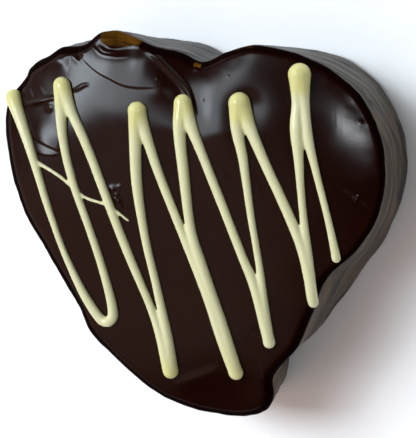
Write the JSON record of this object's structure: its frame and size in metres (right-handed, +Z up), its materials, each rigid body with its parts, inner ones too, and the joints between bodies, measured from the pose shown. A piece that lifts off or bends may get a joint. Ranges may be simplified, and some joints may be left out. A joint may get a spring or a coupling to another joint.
{
  "type": "chocolate-covered marshmallow",
  "caption": "Heart-shaped marshmallow under a glossy dark chocolate coat, with a zigzag of white icing piped over its top; it lies flat on its base.",
  "frame": {"origin": "centre of the bounding box, on the surface that the heart rests on", "axes": "+Z up out of the iced top, +Y from the heart's tip towards its cleft, +X towards its right lobe"},
  "size_m": [0.0732, 0.0714, 0.0233],
  "materials": {
    "dark_chocolate": "glossy dark chocolate coat, set in soft folds",
    "white_icing": "smooth, softly shining cream-white icing"
  },
  "bodies": {
    "root": {"chocolate_heart": "dark_chocolate"}
  },
  "joints": []
}
